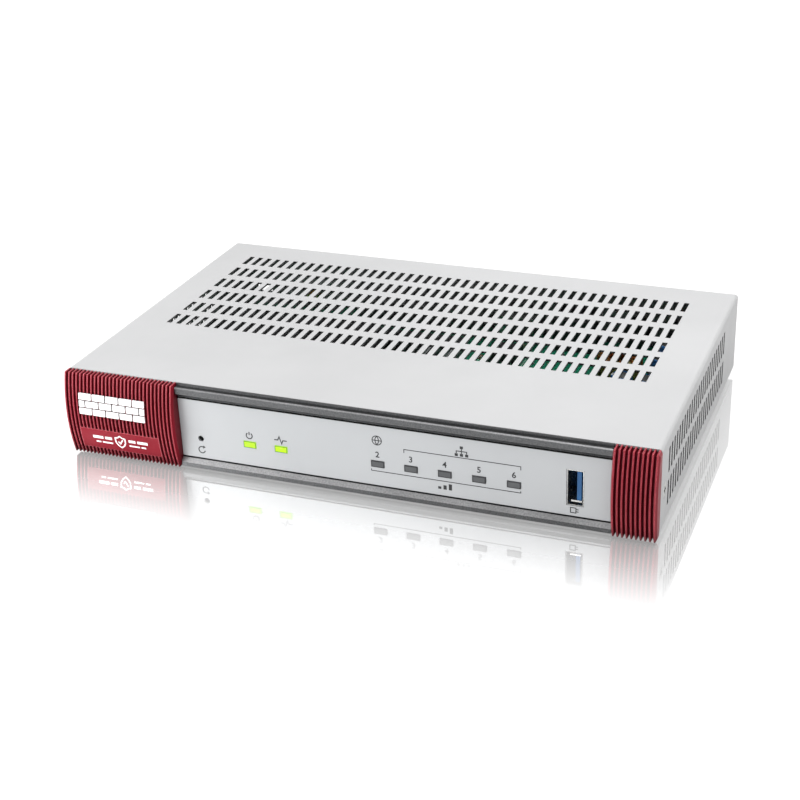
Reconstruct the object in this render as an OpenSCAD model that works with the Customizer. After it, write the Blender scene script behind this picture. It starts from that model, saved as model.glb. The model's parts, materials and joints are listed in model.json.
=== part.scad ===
// Desktop firewall appliance: folded steel case, moulded front with ribbed end caps,
// one main board, five Ethernet ports, console port, USB port, power inlet and power switch.
// Origin: centre of the footprint, on the surface it stands on. +X right and -Y towards
// the front panel's viewer, +Z up. Millimetres.

/* [Case] */
// Overall width, across the steel cover
case_w = 216; // [212:1:236]
// Overall depth, from the end caps' bulge to the power inlet's collar
case_d = 143; // [143:1:160]
// Overall height, from the feet to the cover's top
case_h = 33; // [33:0.5:38]
// Thickness of the folded steel sheet
sheet_t = 0.8; // [0.6:0.1:1]
// Height of the rubber feet
foot_h = 2.8; // [2.8:0.1:3.5]
// Radius of a rubber foot
foot_r = 5.5; // [4:0.5:7]
// How far the end caps bulge in front of the cover
cap_bulge = 5.8; // [5.8:0.1:7]

/* [Vents] */
// Columns of slots in the cover's top
top_vent_cols = 47; // [20:1:47]
// Rows of slots in the cover's top
top_vent_rows = 6; // [2:1:6]
// Pitch between columns, top and sides
vent_pitch = 4; // [3.5:0.1:4]
// Pitch between rows in the top
top_row_pitch = 13; // [10:0.5:13]
// Width of a slot
slot_w = 1.9; // [1.2:0.1:2.2]
// Length of a slot in the top
top_slot_l = 8.6; // [6:0.1:9]
// Columns of slots in each side
side_vent_cols = 25; // [10:1:25]
// Length of a slot in the sides
side_slot_l = 9; // [7:0.5:9]
// Pitch between the two rows in the sides
side_row_pitch = 12.1; // [11:0.1:12.1]

/* [Front] */
// Pitch of the end caps' ribs
rib_pitch = 1.52; // [1.4:0.01:1.6]
// Depth of the grooves between the ribs
rib_depth = 1.2; // [0.6:0.1:1.2]
// Ribs on the left end cap
left_ribs = 29; // [27:1:29]
// Ribs on the right end cap
right_ribs = 10; // [7:1:10]
// Width of an indicator lens
lens_w = 4.7; // [3:0.1:5]
// Height of an indicator lens
lens_h = 2.4; // [1.6:0.1:2.6]
// Pitch between neighbouring indicators
lens_pitch = 12.05; // [11:0.05:12.5]
// Diameter of the reset pinhole
pinhole_d = 2; // [1.6:0.1:2.4]
// Travel of the reset plunger
reset_travel = 0.5; // [0.2:0.1:0.5]

/* [Rear] */
// Tilt of the power rocker to either side of its middle, in degrees
rocker_tilt = 12; // [8:1:12]
// Inner diameter of the power inlet
inlet_bore_d = 6.4; // [6:0.1:6.6]
// Diameter of the power inlet's centre pin
inlet_pin_d = 2.1; // [2:0.1:2.5]

/* [Underside] */
// Distance between the two wall-hanging keyholes
keyhole_spacing = 150; // [100:5:160]
// Radius of a keyhole's round end
keyhole_r = 4; // [3.5:0.1:4.5]
// Radius of a keyhole's narrow end
keyhole_slot_r = 2.1; // [1.8:0.1:2.3]
// Distance from a keyhole's round end to the end of its neck
keyhole_neck = 9; // [6:0.5:12]

/* [Hidden] */
$fn = 48;
eps = 0.01;
gap = 0.1;

// Case planes
case_x = case_w / 2;
emblem_t = 0.5;
inlet_proud = 2;
cover_y0 = -case_d / 2 + cap_bulge + emblem_t;
cover_y1 = case_d / 2 - inlet_proud;
cover_z0 = foot_h;
inner_x = case_x - sheet_t;
inner_z = case_h - sheet_t;
bend_r = 1.3;

// Steel tray
tray_x = inner_x - gap;
tray_y0 = cover_y0 + sheet_t;
tray_top = inner_z - 0.3;
floor_z = foot_h + sheet_t;
ear_h = 20;
ear_l = 9;
lip_h = 7;
flange_z0 = 24;
rear_screw_x = 98;
rear_screw_z = 28;
side_screw_y = cover_y0 + 6;
side_screw_z = 15.6;

// Vents
top_vent_x = -1;
top_vent_y0 = cover_y0 + 51.5;
side_vent_y0 = cover_y0 + 11.5;
side_vent_z = (cover_z0 + case_h) / 2;

// Moulded front
back_y = cover_y0 - 0.1;
frame_y = cover_y0 - 2.5;
panel_y = cover_y0 - 1;
front_z0 = 0.8;
panel_z0 = 4.8;
panel_z1 = 28;
brow_z0 = 29.5;
brow_z1 = 32;
sill_z = 4.3;
sill_drop = 1.5;
left_cap_w = left_ribs * rib_pitch;
right_cap_w = right_ribs * rib_pitch;
open_x0 = -case_x + left_cap_w;
open_x1 = case_x - right_cap_w;
arc_r = 55;
arc_z = 17.5;
crest_y = cover_y0 - cap_bulge;
arc_y = crest_y + arc_r;
crest_flat = 0.44;
cap_wall = 1.9;
peg_r = 1.5;
peg_z = [8, 26];

// Indicators, reset and USB on the front panel, by their centres
lens_z = 13;
status_x = [-36.7, -24.7];
port_x0 = 11.4;
port_count = 5;
port_x = [for (i = [0 : port_count - 1]) port_x0 + i * lens_pitch];
lens_front = panel_y - 0.2;
lens_back = cover_y0 + 8;
reset_x = -56;
reset_z = 12.4;
usb_x = 80.3;
usb_z = 15.15;
usb_w = 5.7;
usb_h = 13.1;
usb_wall = 0.3;
usb_y0 = panel_y + 0.2;
usb_y1 = usb_y0 + 17;
usb_tongue_x = usb_x + 0.3;

// Main board
board_z0 = 6.8;
board_z = 8.4;
board_x = 100;
board_y0 = cover_y0 + 5.2;
board_y1 = cover_y1 - 3.5;
post_xy = [[-93, -52], [0, -52], [93, -52], [-93, 56], [36, 10], [-12, -8]];
cpu_xy = [-53, 5];
cpu_h = 2.2;
pad_h = 0.5;
sink_size = [72, 44];
sink_base = 2.5;
sink_h = 12;
sink_fins = 18;
sink_pin_xy = [for (s = [-1, 1]) cpu_xy + s * [33, 19]];
lan_xy = [2, 14];
lan_chip_h = 1.6;
choke_xy = [70, 36];
choke_z = board_z + 1.2;
choke_h = 7;
cell_xy = [-78, -34];

// Rear ports, by their centres
lan_x = -20;
lan_pitch = 14;
lan_count = 4;
wan_x = 24;
console_x = 47;
jack_y0 = cover_y1 - 20.5;
jack_y1 = cover_y1 + 0.7;
jack_h = 13.5;
jack_w = 16;
jack_wall = 0.3;
port_z0 = board_z + 3.2;
port_w = 12;
port_h = 8.4;
port_depth = 13;
inlet_x = 70;
inlet_z = 14.6;
inlet_collar_r = 4.3;
rocker_x = 89;
rocker_z = 15;
rocker_y = cover_y1 - 3.2;
rocker_half = 2.85;
rocker_pin_r = 0.9;
lock_x = -95;
ground_x = -72;

// Helpers: a block between limits, and round bars along each axis
module block(x, y, z) {
    translate([x[0], y[0], z[0]]) cube([x[1] - x[0], y[1] - y[0], z[1] - z[0]]);
}

module bar_x(y, z, r, x) {
    translate([x[0], y, z]) rotate([0, 90, 0]) cylinder(r = r, h = x[1] - x[0]);
}

module bar_y(x, z, r, y) {
    translate([x, y[1], z]) rotate([90, 0, 0]) cylinder(r = r, h = y[1] - y[0]);
}

module bar_z(x, y, r, z) {
    translate([x, y, z[0]]) cylinder(r = r, h = z[1] - z[0]);
}

function around(c, w) = [c - w / 2, c + w / 2];

// Extrudes an outline drawn in Y and Z along X
module along_x(x) {
    translate([x[0], 0, 0]) rotate([90, 0, 90]) linear_extrude(x[1] - x[0]) children();
}

// Extrudes an outline drawn in X and Z along Y
module along_y(y) {
    translate([0, y[1], 0]) rotate([90, 0, 0]) linear_extrude(y[1] - y[0]) children();
}

// ---------------------------------------------------------------- Steel case

// Rectangle with its two top corners rounded by r
module folded_outline(x, z0, z1, r) {
    translate([-x, z0]) square([2 * x, z1 - z0 - r]);
    translate([-x + r, z0]) square([2 * (x - r), z1 - z0]);
    for (s = [-1, 1]) translate([s * (x - r), z1 - r]) circle(r);
}

// A side screw's shape, its head flush with the cover; grow makes the hole for it
module side_screw_shape(side, grow) {
    head_r = 2.75 + grow;
    shank_r = 1.5 + grow;
    translate([side * case_x, side_screw_y, side_screw_z]) rotate([0, -side * 90, 0]) {
        cylinder(r1 = head_r, r2 = shank_r, h = head_r - shank_r);
        cylinder(r = shank_r, h = 6);
    }
}

module top_cover() {
    color("gainsboro") difference() {
        union() {
            along_y([cover_y0, cover_y1]) difference() {
                folded_outline(case_x, cover_z0, case_h, bend_r);
                translate([0, -1]) folded_outline(inner_x, cover_z0 - 1, inner_z + 1, bend_r - sheet_t);
            }
            block([-100, 100], [cover_y1 - 2 * sheet_t, cover_y1 - sheet_t], [flange_z0, inner_z + eps]);
        }
        for (i = [0 : top_vent_cols - 1]) for (j = [0 : top_vent_rows - 1])
            block(around(top_vent_x + (i - (top_vent_cols - 1) / 2) * vent_pitch, slot_w),
                around(top_vent_y0 + j * top_row_pitch, top_slot_l), [inner_z - 1, case_h + 1]);
        for (i = [0 : side_vent_cols - 1]) for (row = [-0.5, 0.5]) for (side = [-1, 1])
            block(around(side * case_x, 4), around(side_vent_y0 + i * vent_pitch, slot_w),
                around(side_vent_z + row * side_row_pitch, side_slot_l));
        for (side = [-1, 1]) {
            side_screw_shape(side, 0.05);
            bar_y(side * rear_screw_x, rear_screw_z, 1.5, [cover_y1 - 5, cover_y1]);
        }
    }
}

// Round end and narrow neck of a wall-hanging keyhole; grow widens it all round
module keyhole(x, grow) {
    z = [foot_h - 1, floor_z + 1];
    neck_r = keyhole_slot_r + grow;
    bar_z(x, 0, keyhole_r + grow, z);
    bar_z(x, keyhole_neck, neck_r, z);
    block(around(x, 2 * neck_r), [0, keyhole_neck], z);
}

module rear_cutouts() {
    wall = [cover_y1 - 3, cover_y1 + 1];
    jack_z = [board_z - gap, board_z + jack_h + gap];
    lan_w = lan_count * lan_pitch + 4.3;
    block(around(lan_x, lan_w + 0.3), wall, jack_z);
    block(around(wan_x, jack_w + 0.3), wall, jack_z);
    block(around(console_x, jack_w + 0.1), wall, jack_z);
    bar_y(inlet_x, inlet_z, inlet_collar_r + 0.15, wall);
    block(around(rocker_x, 13.4), wall, around(rocker_z, 8.2));
    block(around(lock_x, 7), wall, around(14, 3));
    bar_y(ground_x, 14, 1.55, wall);
    for (side = [-1, 1]) bar_y(side * rear_screw_x, rear_screw_z, 1.6, wall);
}

module front_cutouts(y, clearance) {
    for (x = concat(status_x, port_x))
        block(around(x, lens_w + 2 * clearance), y, around(lens_z, lens_h + 2 * clearance));
    block(around(usb_x, usb_w + 2 * clearance), y, around(usb_z, usb_h + 2 * clearance));
    bar_y(reset_x, reset_z, pinhole_d / 2 + clearance, y);
}

module bottom_chassis() {
    color("darkgray") difference() {
        union() {
            block([-tray_x, tray_x], [tray_y0, cover_y1], [foot_h, floor_z]);
            block([-tray_x, tray_x], [tray_y0, tray_y0 + sheet_t], [foot_h, tray_top]);
            block([-tray_x, tray_x], [cover_y1 - sheet_t, cover_y1], [foot_h, tray_top]);
            for (side = [-1, 1]) {
                block(around(side * (tray_x - sheet_t / 2), sheet_t), [tray_y0, cover_y1], [foot_h, lip_h - 1]);
                block(around(side * (tray_x - sheet_t / 2), sheet_t), [tray_y0, tray_y0 + ear_l], [foot_h, ear_h]);
            }
        }
        front_cutouts([tray_y0 - 1, tray_y0 + 2], 0.3);
        for (side = [-1, 1]) {
            side_screw_shape(side, 0.05);
            for (z = peg_z) bar_y(cap_peg_x(side), z, 1, [tray_y0 - 1, tray_y0 + 2]);
        }
        rear_cutouts();
        for (x = [-0.5, 0.5]) keyhole(x * keyhole_spacing, 0);
        for (i = [-9 : 9]) for (y = [-28, 32])
            block(around(i * 6, slot_w), around(y, 14), [foot_h - 1, floor_z + 1]);
    }
}

module rubber_feet() {
    color("dimgray") for (x = [-92, 92]) for (y = [-54, 54]) {
        bar_z(x, y, foot_r, [0.6, foot_h]);
        bar_z(x, y, foot_r - 0.6, [0, foot_h]);
    }
}

module side_screws() {
    color("silver") for (side = [-1, 1]) difference() {
        side_screw_shape(side, 0);
        for (turn = [0, 90]) translate([side * case_x, side_screw_y, side_screw_z]) rotate([turn, 0, 0])
            cube([2, 2.6, 0.7], center = true);
    }
}

// Pan-head machine screw in the rear wall, pointing into the case
module rear_screw(x, z, head_r, head_h) {
    difference() {
        union() {
            bar_y(x, z, head_r, [cover_y1, cover_y1 + head_h]);
            bar_y(x, z, 1.45, [cover_y1 - 6, cover_y1 + eps]);
        }
        for (w = [[2.8, 0.6], [0.6, 2.8]])
            block(around(x, w[0]), [cover_y1 + head_h - 0.8, cover_y1 + head_h + 1], around(z, w[1]));
    }
}

module rear_screws() {
    color("silver") for (side = [-1, 1]) rear_screw(side * rear_screw_x, rear_screw_z, 2.7, 1.4);
}

module ground_screw() {
    color("goldenrod") {
        rear_screw(ground_x, 14, 2.9, 1.8);
        difference() {
            bar_y(ground_x, 14, 3.2, [cover_y1 - sheet_t - 2.2, cover_y1 - sheet_t]);
            bar_y(ground_x, 14, 1.5, [cover_y1 - 5, cover_y1]);
        }
    }
}

// ---------------------------------------------------------------- Moulded front

function cap_peg_x(side) = side < 0 ? -case_x + left_cap_w / 2 : case_x - right_cap_w / 2;

// Section of the frame above the panel: a flat shelf in front of a lip that hides the cover's edge
module brow_outline() {
    lip_y = back_y - 0.6;
    polygon([
        [back_y + eps, brow_z0], [frame_y, brow_z0], [frame_y, brow_z1 - 0.4], [frame_y + 0.4, brow_z1],
        [lip_y, brow_z1 + 0.1], [lip_y, case_h - 0.1], [back_y - 0.1, case_h - 0.1],
        [back_y - 0.1, tray_top - 0.2], [back_y + eps, tray_top - 0.2]]);
}

// Section of the frame below the panel: a ledge that slopes down to the front
module sill_outline() {
    polygon([
        [back_y + eps, front_z0 + 0.5], [back_y + eps, sill_z], [panel_y - 0.2, sill_z],
        [frame_y, sill_z - sill_drop], [frame_y, front_z0 + 0.5], [frame_y + 0.5, front_z0 + 0.1],
        [back_y, front_z0 + 0.1]]);
}

module front_frame() {
    color("dimgray") difference() {
        union() {
            block([-inner_x + 0.3, inner_x - 0.3], [back_y, tray_y0], [front_z0 + 0.4, tray_top]);
            along_x([open_x0 + gap, open_x1 - gap]) brow_outline();
            along_x([open_x0 + gap, open_x1 - gap]) sill_outline();
        }
        front_cutouts([cover_y0 - 5, cover_y0 + 5], 0.2);
        for (side = [-1, 1]) for (z = peg_z)
            bar_y(cap_peg_x(side), z, peg_r + 0.05, [cover_y0 - 5, cover_y0 + 5]);
    }
}

module front_panel() {
    color("lightgray") difference() {
        block([open_x0 + gap, open_x1 - gap], [panel_y, back_y], [panel_z0, panel_z1]);
        front_cutouts([cover_y0 - 5, cover_y0 + 5], 0.1);
    }
}

// Zigzag of ribs along x: crests at height top, grooves rib_depth lower, with flat crests
function rib_line(ribs, top) = [for (i = [0 : ribs - 1]) for (p = [
        [0, -rib_depth], [(rib_pitch - crest_flat) / 2, 0], [(rib_pitch + crest_flat) / 2, 0]])
    [i * rib_pitch + p[0], top + p[1]]];

// Ribbed block: ribs curve down the front and run straight back over its top and bottom
module ribbed_body(x0, ribs) {
    w = ribs * rib_pitch;
    intersection() {
        translate([x0, arc_y, arc_z]) rotate([0, 90, 0]) rotate([0, 0, 180])
            rotate_extrude($fn = 240) polygon(concat([[0, 0]],
                [for (p = rib_line(ribs, arc_r)) [p[1], p[0]]], [[arc_r - rib_depth, w], [0, w]]));
        translate([x0, 0, 0]) along_y([cover_y0 - 8, back_y]) polygon(concat(
            [for (p = rib_line(ribs, case_h - 0.1)) p], [[w, case_h - 0.1 - rib_depth]],
            [[w, front_z0 + rib_depth]],
            [for (i = [0 : ribs - 1]) for (p = [[rib_pitch + crest_flat, 0], [rib_pitch - crest_flat, 0],
                [0, rib_depth]]) [w - (i + 1) * rib_pitch + p[0] / (p[1] > 0 ? 1 : 2), front_z0 + p[1]]]));
    }
}

// Hollow end cap with two pegs, between x0 and x0 + ribs * rib_pitch
module end_cap(side, x0, ribs) {
    w = ribs * rib_pitch;
    difference() {
        ribbed_body(x0, ribs);
        block([x0 + cap_wall, x0 + w - cap_wall], [cover_y0 - 2.4, cover_y0], [front_z0 + 3, case_h - 3]);
    }
    for (z = peg_z) bar_y(cap_peg_x(side), z, peg_r, [cover_y0 - 2.5, tray_y0]);
}

// Cylinder that shares the front arc's axis
module arc_bar(r, x) {
    translate([x[0], arc_y, arc_z]) rotate([0, 90, 0]) cylinder(r = r, h = x[1] - x[0], $fn = 240);
}

module left_end_cap() {
    plate_x = [-102.7, -70.7];
    plate_z = [4.3, 12.4];
    color("crimson") {
        end_cap(-1, -case_x, left_ribs);
        intersection() {
            arc_bar(arc_r + 0.08, plate_x);
            block(plate_x, [cover_y0 - 8, cover_y0 - 3.2], plate_z);
        }
    }
}

module right_end_cap() {
    color("crimson") end_cap(1, open_x1, right_ribs);
}

// Raised brick-wall sign on the crests of the left cap's ribs
module cap_emblem() {
    rows = 3;
    brick_w = 5;
    brick_h = 2.3;
    joint = 0.5;
    mark = [-101.6, -75];
    color("white") for (row = [0 : rows - 1]) {
        shift = row == 1 ? (brick_w + joint) / 2 : 0;
        z0 = 18.2 + row * (brick_h + joint);
        for (i = [-1 : 5]) {
            x0 = max(mark[0], mark[0] + shift + i * (brick_w + joint));
            x1 = min(mark[1], mark[0] + shift + i * (brick_w + joint) + brick_w);
            if (x1 - x0 > 1) intersection() {
                difference() {
                    arc_bar(arc_r + emblem_t, [x0, x1]);
                    arc_bar(arc_r, [x0 - 1, x1 + 1]);
                }
                block([x0 - 1, x1 + 1], [crest_y - 3, crest_y + 6], [z0, z0 + brick_h]);
            }
        }
    }
}

// Light pipe: a lens in the panel that turns down onto its LED
module light_pipe(x) {
    block(around(x, lens_w), [lens_front, lens_back], around(lens_z, lens_h));
    block(around(x, lens_h), [lens_back - 2.2, lens_back], [board_z + 0.9, lens_z]);
}

module power_led_lens() {
    color("greenyellow") light_pipe(status_x[0]);
}

module system_led_lens() {
    color("greenyellow") light_pipe(status_x[1]);
}

module port_led_lenses() {
    color("gray") for (x = port_x) light_pipe(x);
}

module light_pipe_carriers() {
    color("black") for (xs = [status_x, port_x]) difference() {
        block([xs[0] - 4, xs[len(xs) - 1] + 4], [tray_y0 + 1.2, tray_y0 + 3.6], [9.6, 16.4]);
        front_cutouts([cover_y0, cover_y0 + 10], 0.05);
    }
}

// LED chip on the board under a light pipe
module led_chip(x) {
    block(around(x, 2), [lens_back - 1.9, lens_back - 0.3], [board_z, board_z + 0.8]);
}

module status_leds() {
    color("honeydew") for (x = status_x) led_chip(x);
}

module port_leds() {
    color("honeydew") for (x = port_x) led_chip(x);
}

module reset_switch() {
    color("black") difference() {
        block(around(reset_x, 6), [board_y0, board_y0 + 3.8], [board_z, board_z + 7]);
        bar_y(reset_x, reset_z, 1.55, [board_y0 - 1, board_y0 + 2.8]);
    }
}

module reset_plunger() {
    color("white") bar_y(reset_x, reset_z, 1.5, [board_y0 - 2.2, board_y0 + 2.8 - reset_travel - 0.2]);
}

// ---------------------------------------------------------------- USB port

module usb_shell() {
    color("silver") difference() {
        block(around(usb_x, usb_w), [usb_y0, usb_y1], around(usb_z, usb_h));
        block(around(usb_x, usb_w - 2 * usb_wall), [usb_y0 - 1, usb_y1 - usb_wall],
            around(usb_z, usb_h - 2 * usb_wall));
        for (z = [-3.2, 3.2])
            block([usb_x - usb_w, usb_x], [usb_y0 + 5, usb_y0 + 5.5], around(usb_z + z, 2.4));
    }
}

module usb_insulator() {
    tongue_x = [usb_tongue_x, usb_tongue_x + 1.5];
    color("royalblue") {
        block(around(usb_x, 4.9), [usb_y1 - 5.5, usb_y1 - usb_wall], around(usb_z, 12.3));
        block(tongue_x, [usb_y0 + 1, usb_y1 - 5], around(usb_z, 11.1));
    }
}

module usb_contacts() {
    color("gold") for (i = [-1.5 : 1.5])
        block([usb_tongue_x - 0.25, usb_tongue_x], [usb_y0 + 2, usb_y1 - 5.5], around(usb_z + i * 2.3, 1));
}

// ---------------------------------------------------------------- Main board

module main_board() {
    color("seagreen") difference() {
        block([-board_x, board_x], [board_y0, board_y1], [board_z0, board_z]);
        for (p = post_xy) bar_z(p[0], p[1], 1.6, [board_z0 - 1, board_z + 1]);
        for (p = sink_pin_xy) bar_z(p[0], p[1], 1.6, [board_z0 - 1, board_z + 1]);
    }
}

module insulator_sheet() {
    color("ivory") difference() {
        block([-88, 88], [-46, 50], [floor_z, floor_z + 0.25]);
        for (p = post_xy) bar_z(p[0], p[1], 4, [floor_z - 1, floor_z + 1]);
        for (x = [-0.5, 0.5]) keyhole(x * keyhole_spacing, 2);
    }
}

module board_standoffs() {
    color("silver") for (p = post_xy) difference() {
        bar_z(p[0], p[1], 3, [floor_z, board_z0]);
        bar_z(p[0], p[1], 1.5, [floor_z - 1, board_z0 + 1]);
    }
}

module board_screws() {
    color("silver") for (p = post_xy) difference() {
        union() {
            bar_z(p[0], p[1], 2.8, [board_z, board_z + 1.8]);
            bar_z(p[0], p[1], 1.45, [floor_z + 0.2, board_z + eps]);
        }
        for (w = [[2.8, 0.6], [0.6, 2.8]])
            block(around(p[0], w[0]), around(p[1], w[1]), [board_z + 1, board_z + 3]);
    }
}

// Flat chip of side w by l and thickness h, lying on z
module chip(at, w, l, z, h) {
    block(around(at[0], w), around(at[1], l), [z, z + h]);
}

module processor() {
    color("darkslategray") {
        chip(cpu_xy, 23, 23, board_z, 1.1);
        chip(cpu_xy, 19, 19, board_z + 1, cpu_h - 1);
    }
}

module thermal_pad() {
    color("lightgray") chip(cpu_xy, 18, 18, board_z + cpu_h, pad_h);
}

// Finned heat sink of side w by l, its base on z, its fins along Y
module finned_sink(at, w, l, z, base, h, fins) {
    pitch = (w - 1) / (fins - 1);
    chip(at, w, l, z, base);
    for (i = [0 : fins - 1])
        block(around(at[0] + (i - (fins - 1) / 2) * pitch, 1), around(at[1], l), [z + base - eps, z + h]);
}

module heat_sink() {
    z = board_z + cpu_h + pad_h;
    color("dimgray") difference() {
        finned_sink(cpu_xy, sink_size[0], sink_size[1], z, sink_base, sink_h, sink_fins);
        for (p = sink_pin_xy) {
            bar_z(p[0], p[1], 1.6, [z - 1, z + sink_h]);
            bar_z(p[0], p[1], 3.4, [z + sink_base, z + sink_h + 1]);
        }
    }
}

module heat_sink_pins() {
    z = board_z + cpu_h + pad_h + sink_base;
    color("brown") for (p = sink_pin_xy) {
        bar_z(p[0], p[1], 1.5, [board_z0 - 1.5, z + eps]);
        bar_z(p[0], p[1], 2.8, [z, z + 2]);
    }
}

module switch_chip() {
    color("darkslategray") chip(lan_xy, 20, 20, board_z, lan_chip_h);
}

module switch_heat_sink() {
    color("silver") finned_sink(lan_xy, 19, 19, board_z + lan_chip_h, 1.8, 8, 7);
}

module memory_chips() {
    color("darkslategray") for (y = [4, 22]) chip([-86, y], 10.5, 13, board_z, 1.2);
}

module flash_chip() {
    color("darkslategray") chip([-50, -22], 18, 12, board_z, 1.1);
}

module chip_passives() {
    color("tan") {
        for (i = [0 : 9]) chip([-68 + i * 4, -10], 2, 1.25, board_z, 0.7);
        for (i = [0 : 7]) chip([20, -4 + i * 4.4], 1.25, 2, board_z, 0.7);
        for (i = [0 : 6]) chip([-8 + i * 4, -1], 2, 1.25, board_z, 0.7);
        for (i = [0 : 5]) chip([52 + i * 6, -20], 3.2, 1.6, board_z, 1);
    }
}

module line_transformers() {
    color("black") {
        for (i = [0 : lan_count - 1])
            chip([lan_x + (i - (lan_count - 1) / 2) * lan_pitch, 36], 12, 12.5, board_z, 5.5);
        chip([wan_x, 36], 12, 12.5, board_z, 5.5);
    }
}

module filter_capacitors() {
    color("steelblue") {
        for (y = [30, 43]) bar_z(88, y, 5, [board_z, board_z + 13]);
        bar_z(76, 14, 4, [board_z, board_z + 11]);
        bar_z(86, 14, 4, [board_z, board_z + 11]);
    }
}

module power_inductors() {
    color("darkkhaki") for (p = [[60, 14], [46, -6], [60, -6]]) chip(p, 11, 11, board_z, 6);
}

module choke_core() {
    color("olive") translate([choke_xy[0], choke_xy[1], choke_z]) difference() {
        cylinder(r = 8, h = choke_h);
        translate([0, 0, -1]) cylinder(r = 4.4, h = choke_h + 2);
    }
}

// Turns of copper wire round the ring core
module choke_winding() {
    turns = 16;
    wire = 0.9;
    color("peru") for (i = [0 : turns - 1])
        translate([choke_xy[0], choke_xy[1], choke_z]) rotate([0, 0, i * 360 / turns]) difference() {
            block([4.3 - wire, 8.1 + wire], around(0, wire), [-wire, choke_h + wire]);
            block([4.3, 8.1], around(0, 2 * wire), [-0.05, choke_h + 0.05]);
        }
}

module crystal() {
    color("silver") {
        chip([-24, -22], 6.6, 4.6, board_z, 3.6);
        for (x = [-27.3, -20.7]) bar_z(x, -22, 2.3, [board_z, board_z + 3.6]);
    }
}

module coin_cell() {
    color("silver") bar_z(cell_xy[0], cell_xy[1], 10, [board_z + 1, board_z + 4.2]);
}

module coin_cell_holder() {
    color("black") difference() {
        bar_z(cell_xy[0], cell_xy[1], 11.6, [board_z, board_z + 4]);
        bar_z(cell_xy[0], cell_xy[1], 10.1, [board_z + 1, board_z + 6]);
    }
}

// ---------------------------------------------------------------- Rear ports

// Mouth of one modular port, with the steps for the plug's latch below it
module port_mouth(x, y) {
    block(around(x, port_w), y, [port_z0, port_z0 + port_h]);
    block(around(x, 6.4), y, [port_z0 - 1.7, port_z0 + 1]);
    block(around(x, 3.6), y, [port_z0 - 2.4, port_z0]);
}

function port_row(x, count) = [for (i = [0 : count - 1]) x + (i - (count - 1) / 2) * lan_pitch];

// Thin metal box round a block of ports, open where the ports are
module jack_shield(x, width, count) {
    difference() {
        block(around(x, width), [jack_y0, jack_y1], [board_z, board_z + jack_h]);
        block(around(x, width - 2 * jack_wall), [jack_y0 + jack_wall, jack_y1 - jack_wall],
            [board_z - 1, board_z + jack_h - jack_wall]);
        for (p = port_row(x, count)) port_mouth(p, [jack_y1 - 1, jack_y1 + 1]);
    }
}

module jack_insert(x, width, count) {
    difference() {
        block(around(x, width - 2 * jack_wall), [jack_y0 + jack_wall, jack_y1 - jack_wall],
            [board_z, board_z + jack_h - jack_wall]);
        for (p = port_row(x, count)) port_mouth(p, [jack_y1 - port_depth, jack_y1]);
    }
}

// Eight spring wires under the ceiling of each port
module jack_contacts(x, count) {
    slope = 16;
    for (p = port_row(x, count)) for (i = [-3.5 : 3.5])
        translate([p + i * 1.02, jack_y1 - 2.2, port_z0 + port_h - 0.45]) rotate([slope, 0, 0])
            block(around(0, 0.4), [-9, 0], around(0, 0.4));
}

module wan_jack_shield() {
    color("silver") jack_shield(wan_x, jack_w, 1);
}

module wan_jack_insert() {
    color("black") jack_insert(wan_x, jack_w, 1);
}

module wan_jack_contacts() {
    color("gold") jack_contacts(wan_x, 1);
}

module lan_jack_shield() {
    color("silver") jack_shield(lan_x, lan_count * lan_pitch + 4.3, lan_count);
}

module lan_jack_insert() {
    color("black") jack_insert(lan_x, lan_count * lan_pitch + 4.3, lan_count);
}

module lan_jack_contacts() {
    color("gold") jack_contacts(lan_x, lan_count);
}

module console_jack_body() {
    color("black") difference() {
        block(around(console_x, jack_w - 0.2), [jack_y0 + 3, jack_y1], [board_z, board_z + jack_h - 0.2]);
        port_mouth(console_x, [jack_y1 - port_depth, jack_y1 + 1]);
    }
}

module console_jack_contacts() {
    color("gold") jack_contacts(console_x, 1);
}

module dc_jack() {
    color("black") difference() {
        union() {
            block(around(inlet_x, 9), [cover_y1 - 12, cover_y1 - sheet_t], [board_z, board_z + 11]);
            bar_y(inlet_x, inlet_z, inlet_collar_r, [cover_y1 - 3, cover_y1 + inlet_proud]);
        }
        bar_y(inlet_x, inlet_z, inlet_bore_d / 2, [cover_y1 - 9, cover_y1 + inlet_proud + 1]);
    }
}

module dc_jack_pin() {
    r = inlet_pin_d / 2;
    tip_y = cover_y1 + 1;
    color("silver") {
        bar_y(inlet_x, inlet_z, r, [cover_y1 - 9, tip_y - r]);
        translate([inlet_x, tip_y - r, inlet_z]) sphere(r);
    }
}

module power_switch_body() {
    color("black") difference() {
        union() {
            block(around(rocker_x, 15), [cover_y1, cover_y1 + 1], around(rocker_z, 10.4));
            block(around(rocker_x, 13.2), [cover_y1 - 12, cover_y1 + eps], around(rocker_z, 8));
        }
        block(around(rocker_x, 11.7), [cover_y1 - 8, cover_y1 + 2], around(rocker_z, 2 * rocker_half + 0.6));
        bar_z(rocker_x, rocker_y, rocker_pin_r + 0.05, around(rocker_z, 7.6));
    }
}

// Rocker seen from above: its two faces meet in a shallow V over the pivot
module rocker_outline() {
    half = 4.7;
    mid = 3.3;
    end = mid + half * tan(rocker_tilt);
    polygon([[-half, end], [0, mid], [half, end], [3.6, 1], [1.8, -1.8], [-1.8, -1.8], [-3.6, 1]]);
}

module power_rocker() {
    color("dimgray") translate([rocker_x, rocker_y, rocker_z]) rotate([0, 0, rocker_tilt]) {
        translate([0, 0, -rocker_half]) linear_extrude(2 * rocker_half) rocker_outline();
        translate([0, 0, -3.7]) cylinder(r = rocker_pin_r, h = 7.4);
    }
}

module power_switch_terminals() {
    back = cover_y1 - 12;
    color("silver") for (x = [-3.5, 3.5]) {
        block(around(rocker_x + x, 2.8), [back - 2.5, back], around(rocker_z, 0.8));
        block(around(rocker_x + x, 2.8), [back - 2.5, back - 1.7], [board_z, rocker_z]);
    }
}

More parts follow.
